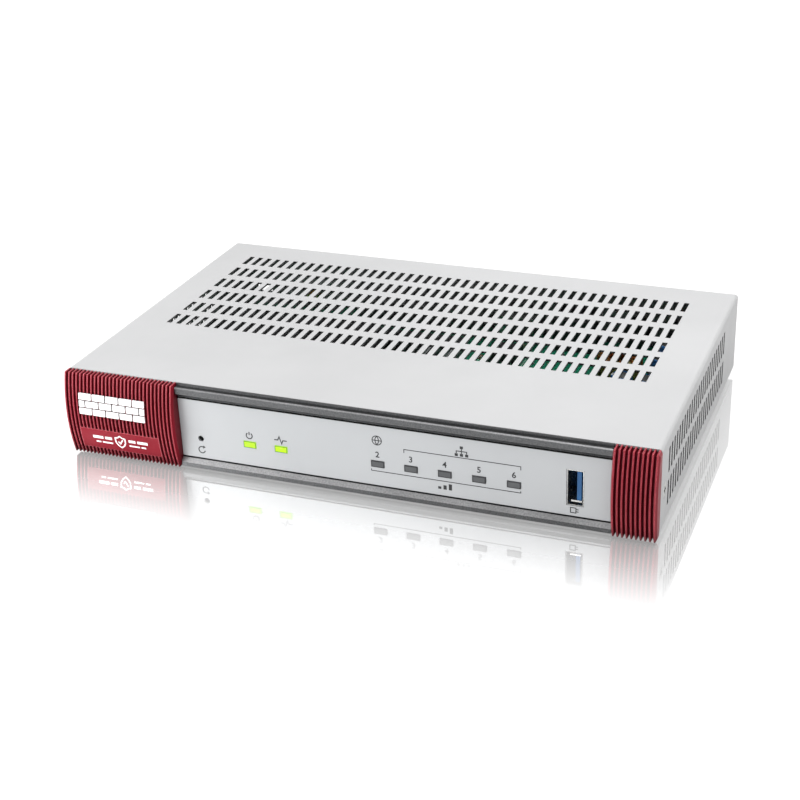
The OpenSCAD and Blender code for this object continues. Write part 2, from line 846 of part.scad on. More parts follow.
top_cover();
bottom_chassis();
rubber_feet();
side_screws();
rear_screws();
ground_screw();
front_frame();
front_panel();
left_end_cap();
right_end_cap();
cap_emblem();
power_led_lens();
system_led_lens();
port_led_lenses();
light_pipe_carriers();
status_leds();
port_leds();
reset_switch();
reset_plunger();
usb_shell();
usb_insulator();
usb_contacts();
main_board();
insulator_sheet();
board_standoffs();
board_screws();
processor();
thermal_pad();
heat_sink();
heat_sink_pins();
switch_chip();
switch_heat_sink();
memory_chips();
flash_chip();
chip_passives();
line_transformers();
filter_capacitors();
power_inductors();
choke_core();
choke_winding();
crystal();
coin_cell();
coin_cell_holder();
wan_jack_shield();
wan_jack_insert();
wan_jack_contacts();
lan_jack_shield();
lan_jack_insert();
lan_jack_contacts();
console_jack_body();
console_jack_contacts();
dc_jack();
dc_jack_pin();
power_switch_body();
power_rocker();
power_switch_terminals();
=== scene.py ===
"""Looks of a desktop firewall appliance: finishes for its CAD parts, and the fine detail around them.

Shapes are drawn in millimetres and scaled to metres as each piece is made.
"""

import json
import math
import random
from itertools import product

import bmesh
import bpy
from mathutils import Matrix, Vector
from mathutils.bvhtree import BVHTree


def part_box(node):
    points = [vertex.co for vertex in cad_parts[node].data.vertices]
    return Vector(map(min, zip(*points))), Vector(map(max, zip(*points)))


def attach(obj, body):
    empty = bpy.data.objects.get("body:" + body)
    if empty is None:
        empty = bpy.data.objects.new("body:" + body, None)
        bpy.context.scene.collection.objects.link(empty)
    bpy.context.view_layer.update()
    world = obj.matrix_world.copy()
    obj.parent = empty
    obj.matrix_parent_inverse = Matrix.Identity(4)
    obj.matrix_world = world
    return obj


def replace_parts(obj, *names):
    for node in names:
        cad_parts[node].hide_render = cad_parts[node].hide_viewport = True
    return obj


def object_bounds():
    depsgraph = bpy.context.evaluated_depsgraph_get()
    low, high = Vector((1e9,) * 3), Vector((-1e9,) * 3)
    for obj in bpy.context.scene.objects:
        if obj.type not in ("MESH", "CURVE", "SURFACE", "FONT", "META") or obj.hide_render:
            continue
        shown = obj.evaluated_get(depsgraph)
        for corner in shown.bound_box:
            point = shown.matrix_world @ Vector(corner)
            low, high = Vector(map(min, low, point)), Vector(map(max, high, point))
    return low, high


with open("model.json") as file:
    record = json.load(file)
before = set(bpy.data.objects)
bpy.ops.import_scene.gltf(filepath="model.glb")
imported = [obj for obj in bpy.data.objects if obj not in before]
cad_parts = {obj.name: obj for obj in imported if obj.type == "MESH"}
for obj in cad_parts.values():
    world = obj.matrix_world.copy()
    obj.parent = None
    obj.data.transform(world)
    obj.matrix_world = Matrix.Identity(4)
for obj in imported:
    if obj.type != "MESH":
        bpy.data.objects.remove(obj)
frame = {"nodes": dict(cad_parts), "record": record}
CAD_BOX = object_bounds()
MM = 0.001
CASE = "case"
SHARP_ANGLE = math.radians(35)

# Printed ink, in millimetres. Strokes that cross others are thinner, so that their faces stay apart.
INK = 0.03
CROSSING_INK = 0.9 * INK
THIRD_INK = 0.8 * INK

# Indicator windows with painted shade round their edge, and the black strip of painted shade over the front panel,
# in millimetres
LENS_H = 2.4
LENS_SHADE_W = 0.3
GAP_SHADE_H = 0.5

# Width of the softened edges of CAD nodes, in millimetres
SOFT_EDGES = {
    "front_panel": 0.06, "left_end_cap": 0.13, "right_end_cap": 0.13,
    "cap_emblem": 0.1, "rubber_feet": 0.4, "side_screws": 0.12, "rear_screws": 0.2, "ground_screw": 0.25,
    "heat_sink": 0.12, "switch_heat_sink": 0.12, "line_transformers": 0.35, "power_inductors": 0.9,
    "lan_jack_shield": 0.1, "wan_jack_shield": 0.1, "console_jack_body": 0.15, "dc_jack": 0.2,
    "power_switch_body": 0.3, "power_rocker": 0.3, "usb_shell": 0.08, "usb_insulator": 0.1,
    "processor": 0.1, "switch_chip": 0.1, "memory_chips": 0.1, "flash_chip": 0.1, "crystal": 0.3,
    "choke_core": 0.9, "coin_cell": 0.3, "coin_cell_holder": 0.2, "reset_plunger": 0.2,
}

# Length, width and height of the small parts on the board, in millimetres
SMALL_PARTS = {
    "resistor": (1.6, 0.8, 0.5),
    "ceramic": (1.6, 0.8, 0.8),
    "large": (3.2, 1.6, 1.2),
    "chip": (2.9, 1.5, 1.1),
}

# Nodes that take no room on top of the board
OFF_BOARD = ("top_cover", "bottom_chassis", "main_board", "insulator_sheet", "heat_sink", "switch_heat_sink")

# Traces between chips and connectors: start, end, number side by side, and pitch, in millimetres
LINE_SIDE_X = (-41, -27, -13, 1, 24)
BUSES = [
    ((-30, 16), (-9, 14), 10, 0.5), ((-66, 4), (-80, 4), 12, 0.6), ((-66, 10), (-80, 20), 12, 0.6),
    ((-56, -8), (-50, -16), 9, 0.5), ((2, 25), (-14, 29), 1, 0.5), ((14, 18), (24, 29), 8, 0.7),
    ((24, 6), (40, -10), 7, 0.7), ((12, 6), (30, -24), 8, 0.6), ((-8, -18), (10, -46), 9, 0.7),
    ((20, -40), (70, -46), 8, 0.8), ((-38, -26), (-30, -50), 6, 0.7), ((66, 2), (84, -16), 5, 1.2),
    ((44, 20), (56, 34), 5, 1.0), ((64, -24), (80, -44), 6, 0.8), ((-60, -32), (-56, -50), 5, 0.7),
    ((30, -8), (36, -30), 5, 0.7), *(((x, 43), (x, 48), 8, 1.1) for x in LINE_SIDE_X),
]


# ------------------------------------------------------------------ Nodes

def feed(tree, socket, value):
    """Links an input to another node's output, or sets it to a value."""
    if isinstance(value, bpy.types.NodeSocket):
        tree.links.new(value, socket)
    else:
        socket.default_value = value


def add_remap(tree, value, start, end, first, last):
    """Stretches a value's range from start to end over first to last, and holds it there outside."""
    node = tree.nodes.new("ShaderNodeMapRange")
    feed(tree, node.inputs["Value"], value)
    for name, number in (("From Min", start), ("From Max", end), ("To Min", first), ("To Max", last)):
        node.inputs[name].default_value = number
    return node


def add_vector_maths(tree, operation, *values):
    node = tree.nodes.new("ShaderNodeVectorMath")
    node.operation = operation
    for socket, value in zip(node.inputs, values):
        feed(tree, socket, value)
    return node


# ------------------------------------------------------------------ Materials

class Surface:
    """A Principled material built up in steps. Its patterns lie in object space, so scales are per metre."""

    def __init__(self, slot, roughness, metallic=0.0, coat=0.0):
        self.slot = slot
        self.material = bpy.data.materials.new(slot)
        self.material.use_nodes = True
        self.tree = self.material.node_tree
        self.bsdf = self.tree.nodes["Principled BSDF"]
        self.bsdf.inputs["Roughness"].default_value = roughness
        self.bsdf.inputs["Metallic"].default_value = metallic
        self.bsdf.inputs["Coat Weight"].default_value = coat
        self.bsdf.inputs["Coat Roughness"].default_value = 0.12
        self.coords = self.tree.nodes.new("ShaderNodeTexCoord").outputs
        self.shade = None
        self.normal = None

    def noise(self, per_metre, detail=3.0, stretch=(1, 1, 1)):
        """Fractal noise from 0 to 1; a stretch over 1 squeezes it along that axis."""
        mapping = self.tree.nodes.new("ShaderNodeMapping")
        mapping.inputs["Scale"].default_value = stretch
        noise = self.tree.nodes.new("ShaderNodeTexNoise")
        noise.inputs["Scale"].default_value = per_metre
        noise.inputs["Detail"].default_value = detail
        self.tree.links.new(self.coords["Object"], mapping.inputs["Vector"])
        self.tree.links.new(mapping.outputs["Vector"], noise.inputs["Vector"])
        return noise.outputs[0]

    def remap(self, value, start, end, first, last):
        return add_remap(self.tree, value, start, end, first, last).outputs["Result"]

    def spread(self, value, low, high):
        """The middle of a noise's range, stretched from low to high."""
        return self.remap(value, 0.3, 0.7, low, high)

    def alignment(self, normal, direction):
        """1 where a normal lies along a direction, and less as it turns away."""
        return add_vector_maths(self.tree, "DOT_PRODUCT", normal, direction).outputs["Value"]

    def paint(self, factor, under, over, blend="MIX"):
        """Makes the base colour a blend of two, by a factor."""
        mix = self.tree.nodes.new("ShaderNodeMix")
        mix.data_type = "RGBA"
        mix.blend_type = blend
        feed(self.tree, mix.inputs["Factor"], factor)
        feed(self.tree, mix.inputs["A"], under)
        feed(self.tree, mix.inputs["B"], over)
        self.shade = mix.outputs["Result"]
        self.tree.links.new(self.shade, self.bsdf.inputs["Base Color"])
        return self

    def colour(self, value, dark, light):
        return self.paint(self.spread(value, 0, 1), (*dark, 1), (*light, 1))

    def darken(self, shares):
        """Multiplies the colours laid so far by shares of 1."""
        return self.paint(1.0, self.shade, shares, "MULTIPLY")

    def speckle(self, per_metre, darkest):
        """Fine darker grains."""
        return self.darken(self.spread(self.noise(per_metre, 2), darkest, 1))

    def deepen_hollows(self, reach, darkest, closed=0.72, alone=True):
        """Painted shade: darkens grooves and slots whose walls stand within reach, in metres.

        Closed is how open the darkest places are. Alone leaves other parts' walls out of it.
        """
        hollow = self.tree.nodes.new("ShaderNodeAmbientOcclusion")
        hollow.only_local = alone
        hollow.samples = 8
        hollow.inputs["Distance"].default_value = reach
        return self.darken(self.remap(hollow.outputs["AO"], closed, 0.97, darkest, 1.0))

    def wear_edges(self, radius, light):
        """Painted highlight: paler along sharp edges, over a strip of about a radius in metres."""
        rounded = self.tree.nodes.new("ShaderNodeBevel")
        rounded.samples = 6
        rounded.inputs["Radius"].default_value = radius
        flat = self.tree.nodes.new("ShaderNodeNewGeometry").outputs["True Normal"]
        edge = self.remap(self.alignment(rounded.outputs["Normal"], flat), 0.98, 0.86, 0.0, 1.0)
        return self.paint(edge, self.shade, (*light, 1))

    def tone_faces(self, facing, tone, below=1.0):
        """Painted light and shade: another tone where the surface faces one way, under a height in metres."""
        turned = self.alignment(self.coords["Normal"], Vector(facing).normalized())
        height = self.tree.nodes.new("ShaderNodeSeparateXYZ")
        self.tree.links.new(self.coords["Object"], height.inputs["Vector"])
        both = self.tree.nodes.new("ShaderNodeMath")
        both.operation = "MULTIPLY"
        feed(self.tree, both.inputs[0], self.remap(turned, 0.92, 0.98, 0, 1))
        feed(self.tree, both.inputs[1], self.remap(height.outputs["Z"], below, below + 0.0005, 1, 0))
        return self.paint(both.outputs["Value"], self.shade, (*tone, 1))

    def roughness(self, value, low, high):
        self.tree.links.new(self.spread(value, low, high), self.bsdf.inputs["Roughness"])

    def bump(self, height, depth):
        """Raises the surface by height times depth, in metres, on top of any earlier bump."""
        node = self.tree.nodes.new("ShaderNodeBump")
        node.inputs["Distance"].default_value = depth
        self.tree.links.new(height, node.inputs["Height"])
        if self.normal:
            self.tree.links.new(self.normal, node.inputs["Normal"])
        self.normal = node.outputs["Normal"]
        self.tree.links.new(self.normal, self.bsdf.inputs["Normal"])


def painted(slot, dark, light, roughness, peel=1500, metallic=0.0, mottle=18, depth=0.00002):
    """Powder coat: fine orange peel over a change of tone, slow unless mottle is high."""
    s = Surface(slot, roughness, metallic)
    s.colour(s.noise(mottle, 4), dark, light)
    s.roughness(s.noise(60, 5), roughness - 0.05, roughness + 0.06)
    s.bump(s.noise(peel, 2), depth)
    s.bump(s.noise(peel * 3, 1), depth * 0.3)
    return s


def moulded(slot, dark, light, roughness, grain=2500, depth=0.00001, coat=0.0):
    """Plastic or rubber with a moulded grain."""
    s = Surface(slot, roughness, coat=coat)
    s.colour(s.noise(90, 4), dark, light)
    s.roughness(s.noise(220, 4), roughness - 0.06, roughness + 0.08)
    s.bump(s.noise(grain, 3), depth)
    return s


def metallic(slot, dark, light, roughness, brush=(1, 1, 1), grain=900, depth=0.000006):
    """Plated or bare metal; brush draws its scratches out along the axes of low stretch."""
    s = Surface(slot, roughness, metallic=1.0)
    s.colour(s.noise(150, 4, brush), dark, light)
    s.roughness(s.noise(grain, 4, brush), roughness - 0.07, roughness + 0.1)
    s.bump(s.noise(grain * 2, 3, brush), depth)
    return s


def frame_metal(slot):
    """Dark grained metal, with a painted highlight along its brow's chamfer, painted shade on its flat tops and a
    painted lit tone on its sill.
    """
    s = painted(slot, (0.10, 0.102, 0.105), (0.16, 0.162, 0.166), 0.38, 2200, 0.9, 2200, 0.000005)
    # Painted light: a highlight on the chamfer facing forward and up, shade on flat tops, and a lit tone on the
    # sill below 6 mm.
    s.tone_faces((0, -1, 1), (0.31, 0.31, 0.316))
    s.tone_faces((0, 0, 1), (0.065, 0.066, 0.068))
    s.tone_faces((0, -1.15, 1), (0.35, 0.35, 0.356), 0.006)
    return s.speckle(1700, 0.68)


# Near black, with almost no shine: the material of the painted shade strip over the panel.
def black_foam(slot):
    s = moulded(slot, (0.003, 0.003, 0.003), (0.006, 0.006, 0.006), 0.9)
    s.bsdf.inputs["Specular IOR Level"].default_value = 0.1
    return s


def ribbed_red(slot):
    """Satin red plastic, with little shine so that its grooves stay dark, a painted highlight along its crests and
    painted shade in its grooves.
    """
    s = moulded(slot, (0.18, 0.004, 0.012), (0.215, 0.005, 0.016), 0.35, 3000, 0.000006)
    s.bsdf.inputs["Specular IOR Level"].default_value = 0.14
    # Painted highlight along the rib crests.
    s.wear_edges(0.0003, (0.74, 0.17, 0.20))
    # Painted shade in the grooves between ribs.
    return s.deepen_hollows(0.007, 0.32, 0.42, False)


def lit_lens(slot):
    """Light pipe with its LED on."""
    s = moulded(slot, (0.12, 0.25, 0.003), (0.18, 0.34, 0.005), 0.3)
    s.bsdf.inputs["Emission Color"].default_value = (0.42, 0.78, 0.0, 1)
    s.bsdf.inputs["Emission Strength"].default_value = 0.9
    return s


def make_materials():
    """One material for each of the record's slots, by the slot's name."""
    grey = (0.362, 0.363, 0.367), (0.395, 0.396, 0.40)
    made = [
        # Painted shade darkens the cover's slot walls.
        painted("cover_paint", *grey, 0.46).deepen_hollows(0.003, 0.05, 0.93),
        # Painted shade darkens the tray's hollows.
        painted("tray_steel", (0.43, 0.435, 0.44), (0.47, 0.475, 0.48), 0.5).deepen_hollows(0.003, 0.1),
        moulded("foot_rubber", (0.012, 0.012, 0.013), (0.03, 0.03, 0.032), 0.78, 1800, 0.00003),
        # Painted shade darkens the screws' recesses.
        metallic("zinc_screw", (0.42, 0.42, 0.41), (0.66, 0.66, 0.64), 0.32).deepen_hollows(0.0012, 0.05),
        metallic("ground_brass", (0.62, 0.44, 0.16), (0.78, 0.60, 0.28), 0.3),
        frame_metal("frame_graphite"),
        painted("panel_silver", (0.38, 0.39, 0.40), (0.41, 0.42, 0.43), 0.44, 2600, 0.25),
        ribbed_red("cap_red"),
        moulded("emblem_white", (0.80, 0.80, 0.80), (0.86, 0.86, 0.86), 0.35),
        lit_lens("lens_lit"),
        moulded("lens_dark", (0.05, 0.053, 0.056), (0.08, 0.083, 0.087), 0.4),
        moulded("black_plastic", (0.010, 0.010, 0.011), (0.022, 0.022, 0.024), 0.42),
        moulded("white_plastic", (0.70, 0.70, 0.68), (0.80, 0.80, 0.78), 0.4),
        metallic("plated_steel", (0.50, 0.50, 0.49), (0.68, 0.68, 0.66), 0.26, (1, 6, 1)),
        moulded("usb_blue", (0.004, 0.055, 0.16), (0.008, 0.085, 0.23), 0.5),
        metallic("gold_contact", (0.80, 0.52, 0.16), (0.95, 0.70, 0.30), 0.2),
        moulded("board_green", (0.012, 0.20, 0.11), (0.024, 0.33, 0.18), 0.28, 1200, 0.00001, coat=0.3),
        moulded("film_clear", (0.55, 0.53, 0.46), (0.68, 0.66, 0.58), 0.35),
        moulded("led_chip", (0.72, 0.74, 0.62), (0.84, 0.85, 0.75), 0.3),
        moulded("chip_black", (0.012, 0.012, 0.013), (0.03, 0.03, 0.032), 0.5, 5000, 0.00001),
        moulded("pad_grey", (0.30, 0.32, 0.35), (0.40, 0.42, 0.46), 0.7),
        metallic("sink_black", (0.018, 0.018, 0.02), (0.045, 0.045, 0.05), 0.4, (8, 1, 8)),
        metallic("sink_silver", (0.45, 0.46, 0.47), (0.66, 0.67, 0.68), 0.36, (8, 1, 8)),
        metallic("pin_brass", (0.45, 0.26, 0.08), (0.66, 0.44, 0.18), 0.34),
        moulded("passive_tan", (0.36, 0.25, 0.14), (0.52, 0.38, 0.24), 0.5),
        moulded("capacitor_sleeve", (0.012, 0.09, 0.26), (0.03, 0.16, 0.42), 0.3, coat=0.4),
        moulded("ferrite_grey", (0.07, 0.072, 0.07), (0.14, 0.142, 0.14), 0.62, 3500, 0.00003),
        moulded("core_olive", (0.22, 0.19, 0.04), (0.34, 0.30, 0.08), 0.45),
        metallic("copper_wire", (0.52, 0.17, 0.05), (0.78, 0.32, 0.12), 0.28),
        metallic("cell_steel", (0.26, 0.26, 0.26), (0.38, 0.38, 0.375), 0.36),
    ]
    return {s.slot: s.material for s in made}


MATERIALS = make_materials()


def finish_cad_nodes():
    """Each CAD node takes its slot's material, and softened edges where the real part has them."""
    slots = {row["node"]: row["material_slot"] for row in frame["record"]["subparts"]}
    for name, node in frame["nodes"].items():
        node.data.materials.clear()
        node.data.materials.append(MATERIALS[slots[name]])
        if name in SOFT_EDGES:
            soften(node, SOFT_EDGES[name] * MM)


def soften(node, width):
    weld = node.modifiers.new("weld", "WELD")
    weld.merge_threshold = 0.000002
    bevel = node.modifiers.new("edges", "BEVEL")
    bevel.width = width
    bevel.segments = 2
    bevel.limit_method = "ANGLE"
    bevel.angle_limit = SHARP_ANGLE
    normals = node.modifiers.new("normals", "WEIGHTED_NORMAL")
    normals.keep_sharp = True


# ------------------------------------------------------------------ Shapes, in millimetres

def box_mm(node):
    low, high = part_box(node)
    return low / MM, high / MM


def add_piece(name, bm, slot, body=CASE, look=None, extra=()):
    """Makes a piece of a bmesh in millimetres. look replaces its slot's material, extra adds more."""
    bmesh.ops.recalc_face_normals(bm, faces=bm.faces)
    bm.transform(Matrix.Scale(MM, 4))
    mesh = bpy.data.meshes.new(name)
    bm.to_mesh(mesh)
    bm.free()
    mesh.shade_smooth()
    mesh.set_sharp_from_angle(angle=SHARP_ANGLE)
    for material in (look or MATERIALS[slot], *extra):
        mesh.materials.append(material)
    piece = bpy.data.objects.new(name, mesh)
    bpy.context.scene.collection.objects.link(piece)
    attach(piece, body)
    return piece


def add_block(bm, low, high, edge=0.1):
    """Block between two corners with a flat along every edge."""
    corners = {}
    for corner in product((0, 1), repeat=3):
        for axis in range(3):
            at = [(high if corner[k] else low)[k] for k in range(3)]
            for k in range(3):
                if k != axis:
                    at[k] += -edge if corner[k] else edge
            corners[corner, axis] = bm.verts.new(at)
    for axis in range(3):
        u, v = [k for k in range(3) if k != axis]
        for side in (0, 1):
            ring = []
            for a, b in ((0, 0), (1, 0), (1, 1), (0, 1)):
                corner = [side] * 3
                corner[u], corner[v] = a, b
                ring.append(corners[tuple(corner), axis])
            bm.faces.new(ring)
        for a, b in product((0, 1), repeat=2):
            first, last = [0] * 3, [1] * 3
            first[u] = last[u] = a
            first[v] = last[v] = b
            first, last = tuple(first), tuple(last)
            bm.faces.new([corners[first, u], corners[last, u], corners[last, v], corners[first, v]])
    for corner in product((0, 1), repeat=3):
        bm.faces.new([corners[corner, axis] for axis in range(3)])


def add_lathe(bm, centre, profile, sides=40):
    """Turns a profile of (radius, z) round a vertical line and closes its ends. Returns the faces by ring."""
    rings = [[bm.verts.new((centre[0] + r * math.cos(a), centre[1] + r * math.sin(a), z))
              for a in (math.tau * i / sides for i in range(sides))] for r, z in profile]
    bands = []
    for lower, upper in zip(rings, rings[1:]):
        bands.append([bm.faces.new([lower[i], lower[(i + 1) % sides], upper[(i + 1) % sides], upper[i]])
                      for i in range(sides)])
    bm.faces.new(rings[0][::-1])
    bands.append([bm.faces.new(rings[-1])])
    return bands


def add_tube(bm, points, radius, sides=8):
    """Round wire along a closed loop of points."""
    points = [Vector(p) for p in points]
    count = len(points)
    rings, side = [], None
    for i, p in enumerate(points):
        along = (points[(i + 1) % count] - points[i - 1]).normalized()
        side = (side - along * side.dot(along)).normalized() if side else along.orthogonal().normalized()
        other = along.cross(side)
        rings.append([bm.verts.new(p + (side * math.cos(a) + other * math.sin(a)) * radius)
                      for a in (math.tau * k / sides for k in range(sides))])
    for i in range(count):
        a, b = rings[i], rings[(i + 1) % count]
        last = i == count - 1
        shift = min(range(sides), key=lambda k: (a[0].co - b[k].co).length) if last else 0
        for k in range(sides):
            bm.faces.new([a[k], a[(k + 1) % sides], b[(k + 1 + shift) % sides], b[(k + shift) % sides]])


def add_ribbon(bm, points, width, place, thickness=INK, closed=False):
    """Flat line of an even width with mitred corners; place(u, v, w) puts a point w above a surface."""
    points = [Vector(p) for p in points]
    count = len(points)
    rings = []
    for i, p in enumerate(points):
        into = p - points[i - 1] if closed or i else points[1] - p
        out = points[(i + 1) % count] - p if closed or i < count - 1 else into
        across = [Vector((-d.y, d.x)).normalized() for d in (into, out)]
        mitre = (across[0] + across[1]).normalized()
        reach = mitre * (width / 2 / max(mitre.dot(across[1]), 0.4))
        sides = ((p + reach, 0), (p - reach, 0), (p - reach, thickness), (p + reach, thickness))
        rings.append([bm.verts.new(place(q.x, q.y, w)) for q, w in sides])
    for i in range(count if closed else count - 1):
        a, b = rings[i], rings[(i + 1) % count]
        for k in range(4):
            bm.faces.new([a[k], a[(k + 1) % 4], b[(k + 1) % 4], b[k]])
    if not closed:
        bm.faces.new(rings[0])
        bm.faces.new(rings[-1][::-1])


def add_plate(bm, outline, place, thickness=INK):
    """Flat shape inside an outline."""
    under = [bm.verts.new(place(u, v, 0)) for u, v in outline]
    over = [bm.verts.new(place(u, v, thickness)) for u, v in outline]
    bm.faces.new(under[::-1])
    bm.faces.new(over)
    for i in range(len(outline)):
        k = (i + 1) % len(outline)
        bm.faces.new([under[i], under[k], over[k], over[i]])


def add_figure(bm, figure, size, u, v, place):
    """A numeral centred on (u, v)."""
    curve = bpy.data.curves.new("figure", "FONT")
    curve.body = figure
    curve.size = size
    curve.align_x = "CENTER"
    curve.align_y = "CENTER"
    curve.resolution_u = 3
    curve.extrude = INK / 2
    curve.offset = size * 0.018
    holder = bpy.data.objects.new("figure", curve)
    bpy.context.scene.collection.objects.link(holder)
    shape = bpy.data.meshes.new_from_object(holder.evaluated_get(bpy.context.evaluated_depsgraph_get()))
    for vert in shape.vertices:
        vert.co = place(u + vert.co.x, v + vert.co.y, vert.co.z + INK / 2)
    bm.from_mesh(shape)
    bpy.data.objects.remove(holder)
    bpy.data.meshes.remove(shape)
    bpy.data.curves.remove(curve)


def arc(u, v, radius, start, end, steps=16):
    """Points along an arc, with its angles in degrees."""
    angles = (math.radians(start + (end - start) * i / steps) for i in range(steps + 1))
    return [(u + radius * math.cos(a), v + radius * math.sin(a)) for a in angles]


def circle(u, v, radius, steps=24):
    return arc(u, v, radius, 0, 360, steps)[:-1]


def rectangle(u0, v0, u1, v1):
    return [(u0, v0), (u1, v0), (u1, v1), (u0, v1)]


def grown(low, high, by):
    """Outline of a box seen from above, with a margin round it."""
    return rectangle(low[0] - by, low[1] - by, high[0] + by, high[1] + by)


def island_boxes(node):
    """(low, high) corners, in millimetres, of every separate solid in a CAD node, from left to right."""
    bm = bmesh.new()
    bm.from_mesh(frame["nodes"][node].data)
    bmesh.ops.remove_doubles(bm, verts=bm.verts, dist=0.000002)
    bm.verts.ensure_lookup_table()
    seen, boxes = set(), []
    for start in bm.verts:
        if start.index in seen:
            continue
        seen.add(start.index)
        stack, members = [start], [start]
        while stack:
            for edge in stack.pop().link_edges:
                for vert in edge.verts:
                    if vert.index not in seen:
                        seen.add(vert.index)
                        stack.append(vert)
                        members.append(vert)
        corners = [[pick(v.co[k] for v in members) / MM for k in range(3)] for pick in (min, max)]
        boxes.append((Vector(corners[0]), Vector(corners[1])))
    bm.free()
    return sorted(boxes, key=lambda box: tuple(round(c, 2) for c in box[0]))


def middle(box):
    return (box[0] + box[1]) / 2


def forward_place(face_y):
    """Puts (x, z) on a face that looks forward."""
    return lambda u, v, w: Vector((u, face_y - w, v))


def rearward_place(face_y):
    """Puts (u, z) on a face that looks back, with u to the right as seen from behind."""
    return lambda u, v, w: Vector((-u, face_y + w, v))


def upward_place(face_z):
    """Puts (x, y) on a face that looks up."""
    return lambda u, v, w: Vector((u, v, face_z + w))


def downward_place(face_z):
    """Puts (x, y) on a face that looks down."""
    return lambda u, v, w: Vector((u, v, face_z - w))


# ------------------------------------------------------------------ Symbols, of size r round (u, v)

def power_symbol(bm, u, v, r, line, place):
    add_ribbon(bm, arc(u, v, r, 125, 415), line, place)
    add_ribbon(bm, [(u, v + 0.25 * r), (u, v + 1.3 * r)], line, place)


def pulse_symbol(bm, u, v, r, line, place):
    beat = [(-1.6, 0), (-0.7, 0), (-0.3, 0.9), (0.25, -0.9), (0.6, 0), (1.6, 0)]
    add_ribbon(bm, [(u + a * r, v + b * r) for a, b in beat], line, place)


def globe_symbol(bm, u, v, r, line, place):
    add_ribbon(bm, circle(u, v, r), line, place, closed=True)
    oval = [(u + (a - u) * 0.45, b) for a, b in circle(u, v, r - line)]
    add_ribbon(bm, oval, line, place, CROSSING_INK, closed=True)
    add_ribbon(bm, [(u - r, v), (u + r, v)], line, place, THIRD_INK)


def network_symbol(bm, u, v, r, line, place):
    """One box over three, with lines between them."""
    half_w, half_h, step = 0.4 * r, 0.36 * r, 1.3 * r
    for a, b in ((u, v + r), (u - step, v - r), (u, v - r), (u + step, v - r)):
        add_plate(bm, rectangle(a - half_w, b - half_h, a + half_w, b + half_h), place)
    low, high = v - 0.6 * r, v + 0.6 * r
    add_ribbon(bm, [(u, high), (u, low)], line, place, CROSSING_INK)
    add_ribbon(bm, [(u - step, low), (u - step, v), (u + step, v), (u + step, low)], line, place, THIRD_INK)


def reset_symbol(bm, u, v, r, line, place):
    """Open ring that ends in an arrowhead."""
    start = 60
    add_ribbon(bm, arc(u, v, r, start, 350), line, place)
    a = u + r * math.cos(math.radians(start))
    b = v + r * math.sin(math.radians(start))
    head = [(a + 0.75 * r, b + 0.1 * r), (a - 0.05 * r, b + 0.55 * r), (a - 0.05 * r, b - 0.5 * r)]
    add_plate(bm, head, place, CROSSING_INK)


def plug_symbol(bm, u, v, r, line, place):
    add_ribbon(bm, rectangle(u - 0.9 * r, v - 0.7 * r, u + 0.5 * r, v + 0.7 * r), line, place, closed=True)
    for s in (-0.32, 0.32):
        add_ribbon(bm, [(u + 0.5 * r, v + s * r), (u + 1.2 * r, v + s * r)], line, place, CROSSING_INK)


def speed_symbol(bm, u, v, r, place):
    """Three bars, each taller than the last."""
    foot = v - 0.6 * r
    for i in range(3):
        bar = rectangle(u + (i - 1.3) * r, foot, u + (i - 0.7) * r, foot + (0.5 + 0.35 * i) * r)
        add_plate(bm, bar, place)


def console_symbol(bm, u, v, line, place):
    """Screen with a prompt in it."""
    add_ribbon(bm, rectangle(u - 1.6, v - 1.1, u + 1.6, v + 1.1), line, place, closed=True)
    add_ribbon(bm, [(u - 0.8, v + 0.5), (u - 0.2, v), (u - 0.8, v - 0.5)], line, place)


def polarity_symbol(bm, u, v, line, place):
    """Dot in an open ring, with a minus on its left and a plus on its right."""
    sign_at, half = 3.4, 0.6
    add_plate(bm, circle(u, v, 0.45), place)
    add_ribbon(bm, arc(u, v, 1.15, 35, 325), line, place)
    for s in (-1, 1):
        add_ribbon(bm, [(u + 1.1 * s, v), (u + 2.4 * s, v)], line, place, CROSSING_INK)
        add_ribbon(bm, [(u + sign_at * s - half, v), (u + sign_at * s + half, v)], line, place)
    add_ribbon(bm, [(u + sign_at, v - half), (u + sign_at, v + half)], line, place, CROSSING_INK)


def ground_symbol(bm, u, v, line, place):
    """Stem over three bars, each shorter than the last."""
    for i in range(3):
        half, height = 1.3 - 0.42 * i, v - 0.6 * i
        add_ribbon(bm, [(u - half, height), (u + half, height)], line, place)
    add_ribbon(bm, [(u, v + 0.1), (u, v + 1.6)], line, place, CROSSING_INK)


# ------------------------------------------------------------------ Front

